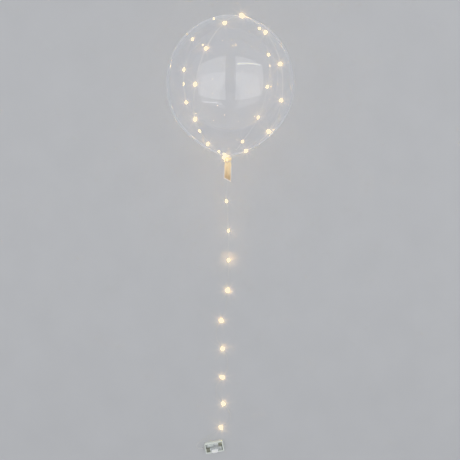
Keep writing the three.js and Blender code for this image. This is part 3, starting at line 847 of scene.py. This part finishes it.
clear_plastic = finish_of(
    "clear_moulded_plastic",
    (0.96, 1.0, 0.95),
    Transmission_Weight=0.95,
    IOR=1.45,
)
add_grain(clear_plastic, 260, (0.98, 1.0, 0.97), (0.93, 0.98, 0.92), (0.02, 0.06), (0.08, 0.0001))
pale_rim = finish_of("pale_plastic_rim", (0.93, 0.99, 0.9), Transmission_Weight=0.25, IOR=1.45)
add_grain(pale_rim, 260, (0.98, 1.0, 0.96), (0.94, 0.99, 0.9), (0.1, 0.2), (0.12, 0.0001))
tray = moulded_shell("tray", tray_height)
cell_rest_height = cell_height - case_wall - 0.003
cell_rest_size = (0.002, 0.0012, cell_rest_height)
cell_rest_middle = case_wall + cell_rest_height / 2 - 0.0001
wall_rib_size = (0.0012, 0.0008, tray_height * 0.7)
wall_rib_reach = 0.014
wall_face = case_width / 2 - case_wall
tray_ribs = [rib(cell_rest_size, (end * room_length / 4, 0, cell_rest_middle)) for end in (-1, 1)]
for end in (-1, 1):
    for side in (-1, 1):
        place = (end * wall_rib_reach, side * wall_face, tray_height / 2)
        tray_ribs.append(rib(wall_rib_size, place))
join_into(tray, tray_ribs)
bpy.ops.object.shade_smooth_by_angle(angle=math.radians(30))
tray.data.transform(as_box_lies)
seat(tray, "battery_tray")
tray.visible_shadow = False

lid_seam = tray_height + gap
lid_height = lid_top - lid_seam
lid = moulded_shell("lid", lid_height)
lid.data.transform(Matrix.Translation((0, 0, lid_top)) @ Matrix.Rotation(math.pi, 4, "X"))
tab_reach = 0.0022
tab_root = 0.0008
tab_size = (0.014, tab_reach + tab_root, 0.0026)
tab_place = (0, -(case_width + tab_reach - tab_root) / 2, lid_seam + tab_size[2] / 2)
pad_size = (0.021, 0.0085, 0.0007)
pad_place = (0, -case_width / 2 + 0.0052, lid_top - 0.0001)
ridge_size = (0.0006, 0.0055, 0.0004)
ridge_pitch = 0.0016
ridge_line = -case_width / 2 + 0.0048
tab = rib(tab_size, tab_place)
pad = rib(pad_size, pad_place)
ridges = [rib(ridge_size, (number * ridge_pitch, ridge_line, lid_top)) for number in range(-4, 5)]
milky_plastic = finish_of("milky_plastic", (0.97, 0.97, 0.97), Transmission_Weight=0.05, IOR=1.49)
add_grain(milky_plastic, 400, (0.99, 0.985, 0.98), (0.95, 0.945, 0.94), (0.25, 0.4), (0.15, 0.0001))
for grip in (tab, pad, *ridges):
    grip.data.materials.append(milky_plastic)
join_into(lid, [tab, pad, *ridges])
bpy.ops.object.shade_smooth_by_angle(angle=math.radians(30))
lid.data.transform(as_box_lies)
seat(lid, "battery_lid")
lid.visible_shadow = False

# Cells: two plain AA cells, head to tail, in printed film jackets over their steel cans.
# The crimped ends are bare metal, and the raised contact is pressed from the positive end.
cell_offset = (cell_diameter + cell_gap) / 2
cell_shift = room_length / 2 - 2 * gap - plate_thickness - cell_tip - cell_length / 2
band_from = cell_length * 0.27
rim_radius = 0.0004
head_rings = [(0.0004, -0.0001), (0.0009, -0.0004), (0.0026, 0.0005)]
tip_edge_ring = (0.0004, -0.0001)
base_rings = [(0.0004, 0.0001), (0.0012, 0.0004), (0.0006, -0.0004)]


def press_rings(rings):
    """The selected end is set in and pushed along, ring by ring."""
    for inwards, along in rings:
        bpy.ops.mesh.inset(thickness=inwards)
        bpy.ops.transform.translate(value=(0, 0, along))


def on_rim(ends):
    """True where an edge runs round the can's outer corner."""
    level = abs(ends[0].z - ends[1].z) < touching
    return level and all(abs(math.hypot(e.x, e.y) - cell_diameter / 2) < touching for e in ends)


jacket = finish_of("cell_jacket", (0.72, 0.72, 0.75), Metallic=0.2, Coat_Weight=0.4)
add_grain(jacket, 90, (0.98, 0.97, 1.0), (0.46, 0.45, 0.5), (0.2, 0.4), (0.1, 0.00005))
jacket_band = finish_of("cell_band", (0.16, 0.15, 0.09), Metallic=0.3, Coat_Weight=0.4)
add_grain(jacket_band, 120, (0.24, 0.23, 0.13), (0.1, 0.095, 0.05), (0.22, 0.36), (0.1, 0.00005))
bare_steel = finish_of("bright_steel", (0.7, 0.7, 0.68), Metallic=1.0)
add_grain(bare_steel, 700, (0.8, 0.8, 0.78), (0.55, 0.55, 0.53), (0.18, 0.38), (0.15, 0.00005))
for number, side in ((1, 1), (2, -1)):
    bpy.ops.object.select_all(action="DESELECT")
    bpy.ops.mesh.primitive_cylinder_add(vertices=48, radius=cell_diameter / 2, depth=cell_length)
    cell = bpy.context.object
    cell.name = f"cell_{number}"
    bpy.ops.object.mode_set(mode="EDIT")
    pick(cell, "FACE", lambda ends: min(e.z for e in ends) > cell_length * 0.49)
    press_rings(head_rings)
    bpy.ops.mesh.extrude_region_move(TRANSFORM_OT_translate={"value": (0, 0, cell_tip)})
    press_rings([tip_edge_ring])
    pick(cell, "FACE", lambda ends: max(e.z for e in ends) < -cell_length * 0.49)
    press_rings(base_rings)
    pick(cell, "EDGE", on_rim)
    bpy.ops.mesh.bevel(offset=rim_radius, segments=3)
    bpy.ops.mesh.select_all(action="SELECT")
    bpy.ops.mesh.bisect(plane_co=(0, 0, band_from), plane_no=(0, 0, 1))
    bpy.ops.mesh.select_mode(type="FACE")
    bpy.ops.object.mode_set(mode="OBJECT")
    bpy.ops.object.shade_smooth_by_angle(angle=math.radians(35))
    turn = Matrix.Rotation(side * math.pi / 2, 4, "Y")
    place = Matrix.Translation((side * cell_shift, side * cell_offset, cell_height))
    for polygon in cell.data.polygons:
        middle = polygon.center
        if math.hypot(middle.x, middle.y) < cell_diameter / 2 - 0.0005:
            polygon.material_index = 2
        elif middle.z > band_from:
            polygon.material_index = 1
    cell.data.transform(as_box_lies @ place @ turn)
    for surface in (jacket, jacket_band, bare_steel):
        cell.data.materials.append(surface)
    seat(cell, f"battery_cell_{number}")

# Contacts: pressed plates of springy plated steel that stand in the ends of the tray. A coil
# spring presses each cell's plain end, and one plate bridges both cells at the far end.
spring_face = room_length / 2 - gap
plate_height = 0.0095
single_width = 0.011
bridge_margin = 0.002
spring_turns = 4
spring_wire = 0.0003
spring_foot = 0.0029
spring_taper = 0.0014
spring_clear = 0.0002


def contact_plate(name, width):
    """A flat plate that stands against the end of the tray's room."""
    plate = rib((plate_thickness, width, plate_height), (plate_thickness / 2, 0, 0))
    plate.name = name
    return plate


def coil_spring(across):
    """A cone of round wire on the plate, this far to the side."""
    steps = spring_turns * 16
    line = []
    for i in range(steps + 1):
        share = i / steps
        radius = spring_foot - spring_taper * share
        angle = 2 * math.pi * spring_turns * share
        reach = plate_thickness + spring_clear + (spring_length - 2 * spring_clear) * share
        line.append(Vector((reach, across + radius * math.cos(angle), radius * math.sin(angle))))
    return tube_mesh("spring", [line], spring_wire, 2)


def stand_contact(plate, across, end):
    """The plate's place at one end of the tray's room, facing inwards."""
    place = Matrix.Translation((end * spring_face, across, cell_height))
    turn = Matrix.Rotation(math.pi if end > 0 else 0, 4, "Z")
    plate.data.transform(as_box_lies @ place @ turn)


bridge = contact_plate("bridge_contact", room_width - 2 * bridge_margin)
join_into(bridge, [coil_spring(cell_offset)])
stand_contact(bridge, 0, 1)
dress(bridge, bare_steel, "contact_bridge")
spring_plate = contact_plate("spring_contact", single_width)
join_into(spring_plate, [coil_spring(0)])
stand_contact(spring_plate, cell_offset, -1)
dress(spring_plate, bare_steel, "contact_spring")
flat_plate = contact_plate("flat_contact", single_width)
stand_contact(flat_plate, -cell_offset, -1)
dress(flat_plate, bare_steel, "contact_plate")

# Strain relief: a short sleeve of soft clear plastic, pushed on where the lead goes in. It is
# moulded with narrow waists between its rings, so that it bends with the lead.
relief_root = 0.0025
relief_end = 0.0019
ring_places = (-0.0018, -0.0006, 0.0006, 0.0018)
ring_edge = 0.0003
ring_waist = 0.84
hole_edge = 0.0005
hole_depth = 0.0008


def at_ring(ends):
    """True where an edge runs round the sleeve at one of its rings."""
    level = abs(ends[0].z - ends[1].z) < touching
    return level and min(abs(ends[0].z - ring) for ring in ring_places) < touching


bpy.ops.object.select_all(action="DESELECT")
bpy.ops.mesh.primitive_cone_add(
    vertices=32,
    radius1=relief_root,
    radius2=relief_end,
    depth=relief_length,
    location=(0, 0, 0),
)
sleeve = bpy.context.object
sleeve.name = "relief_sleeve"
bpy.ops.object.mode_set(mode="EDIT")
for ring in ring_places:
    bpy.ops.mesh.select_all(action="SELECT")
    bpy.ops.mesh.bisect(plane_co=(0, 0, ring), plane_no=(0, 0, 1))
    bpy.ops.mesh.bevel(offset=ring_edge, segments=2)
pick(sleeve, "EDGE", at_ring)
bpy.ops.transform.resize(value=(ring_waist, ring_waist, 1))
pick(sleeve, "FACE", lambda ends: min(e.z for e in ends) > relief_length * 0.49)
bpy.ops.mesh.inset(thickness=hole_edge)
bpy.ops.mesh.inset(thickness=hole_edge)
bpy.ops.transform.translate(value=(0, 0, -hole_depth))
bpy.ops.object.mode_set(mode="OBJECT")
bpy.ops.object.shade_smooth_by_angle(angle=math.radians(40))
relief_x = -(case_length / 2 + gap + relief_length / 2)
as_relief_lies = as_box_lies @ Matrix.Translation((relief_x, 0, relief_axis_height))
sleeve.data.transform(as_relief_lies @ Matrix.Rotation(-math.pi / 2, 4, "Y"))
relief_finish = finish_of("soft_clear_plastic", (0.88, 0.88, 0.85), Transmission_Weight=0.5, IOR=1.48)
add_grain(relief_finish, 600, (0.92, 0.92, 0.9), (0.8, 0.8, 0.76), (0.3, 0.5), (0.2, 0.00008))
dress(sleeve, relief_finish, "strain_relief")

# Studio: a plain pale floor, painted lighter far away where a paper sweep catches more light. Two soft
# panels of light and a thin bright bar hang over it, and their reflections show in the film.
floor_size = 60
floor_middle = (0, -0.4, 0)
sweep_start = 2.0
sweep_end = 7.0
sweep_painted_light = (0.92, 0.92, 0.93, 1)
panel_size = (3.6, 3.2)
panel_power = 22
left_panel_place = (-2.15, 0.1, 2.6)
right_panel_place = (2.2, 0.1, 2.6)
bar_size = (2.9, 0.14)
bar_power = 2.4
bar_place = (1.95, 1.3, 2.55)
bar_turn = 12
room_colour = (0.92, 0.95, 1.0, 1)
room_strength = 0.6
bpy.ops.object.select_all(action="DESELECT")
bpy.ops.mesh.primitive_plane_add(size=floor_size, location=floor_middle)
floor = bpy.context.object
floor.name = "floor"
floor_finish = finish_of("pale_floor", (0.5, 0.5, 0.5), Specular_IOR_Level=0.2)
add_grain(floor_finish, 8, (0.58, 0.58, 0.585), (0.56, 0.56, 0.565), (0.6, 0.7), (0.05, 0.0005))
# painted light: the floor's colour turns lighter from 2 to 7 m out, as a lit paper sweep looks
floor_nodes = floor_finish.node_tree.nodes
floor_links = floor_finish.node_tree.links
floor_place = floor_nodes.new("ShaderNodeTexCoord")
floor_reach = floor_nodes.new("ShaderNodeVectorMath")
floor_reach.operation = "LENGTH"
floor_links.new(floor_place.outputs["Object"], floor_reach.inputs[0])
floor_far = floor_nodes.new("ShaderNodeMapRange")
floor_far.inputs["From Min"].default_value = sweep_start
floor_far.inputs["From Max"].default_value = sweep_end
floor_links.new(floor_reach.outputs["Value"], floor_far.inputs["Value"])
floor_tone = floor_nodes.new("ShaderNodeMix")
floor_tone.data_type = "RGBA"
floor_in = floor_nodes["Principled BSDF"].inputs["Base Color"]
floor_links.new(floor_far.outputs["Result"], floor_tone.inputs["Factor"])
floor_links.new(floor_in.links[0].from_socket, floor_tone.inputs["A"])
floor_tone.inputs["B"].default_value = sweep_painted_light
floor_links.new(floor_tone.outputs["Result"], floor_in)
floor.data.materials.append(floor_finish)


def soft_panel(name, place, size, power, turn=0):
    """A rectangle of light that shines straight down and isn't seen itself."""
    light = bpy.data.lights.new(name, "AREA")
    light.shape = "RECTANGLE"
    light.size, light.size_y = size
    light.energy = power
    panel = bpy.data.objects.new(name, light)
    bpy.context.scene.collection.objects.link(panel)
    panel.location = place
    panel.rotation_euler = (0, 0, math.radians(turn))
    panel.visible_camera = False


soft_panel("left_panel", left_panel_place, panel_size, panel_power)
soft_panel("right_panel", right_panel_place, panel_size, panel_power)
soft_panel("window_bar", bar_place, bar_size, bar_power, bar_turn)
room = bpy.data.worlds.new("room")
bpy.context.scene.world = room
room.use_nodes = True
background = room.node_tree.nodes["Background"]
background.inputs["Color"].default_value = room_colour
background.inputs["Strength"].default_value = room_strength

# Lens: each bright light gets a soft halo and a few short rays, as it does through a camera's
# lens. Their cores stay cream, however bright they are.
core_colour = (1.0, 0.92, 0.7, 1)
scene = bpy.context.scene
scene.view_settings.view_transform = "Standard"
scene.cycles.sample_clamp_indirect = 60
scene.use_nodes = True
treatment = scene.node_tree
layers = next(node for node in treatment.nodes if node.type == "R_LAYERS")
result = next(node for node in treatment.nodes if node.type == "COMPOSITE")


def lens_glare(kind, seen, **sockets):
    """A glare of this kind on the picture so far."""
    glare = treatment.nodes.new("CompositorNodeGlare")
    glare.glare_type = kind
    glare.quality = "HIGH"
    for socket, value in sockets.items():
        glare.inputs[socket.replace("_", " ")].default_value = value
    treatment.links.new(seen, glare.inputs["Image"])
    return glare.outputs["Image"]


haloed = lens_glare(
    "FOG_GLOW",
    layers.outputs["Image"],
    Threshold=2.0,
    Size=0.14,
    Strength=0.4,
    Clamp=True,
    Maximum=25.0,
)
rayed = lens_glare(
    "STREAKS",
    haloed,
    Threshold=6.0,
    Streaks=8,
    Streaks_Angle=math.radians(11),
    Iterations=2,
    Fade=0.45,
    Clamp=True,
    Maximum=12.0,
    Color_Modulation=0.0,
    Strength=0.09,
)
warm = treatment.nodes.new("CompositorNodeMixRGB")
warm.blend_type = "DARKEN"
warm.inputs["Fac"].default_value = 1.0
warm.inputs[2].default_value = core_colour
treatment.links.new(rayed, warm.inputs[1])
treatment.links.new(warm.outputs["Image"], result.inputs["Image"])
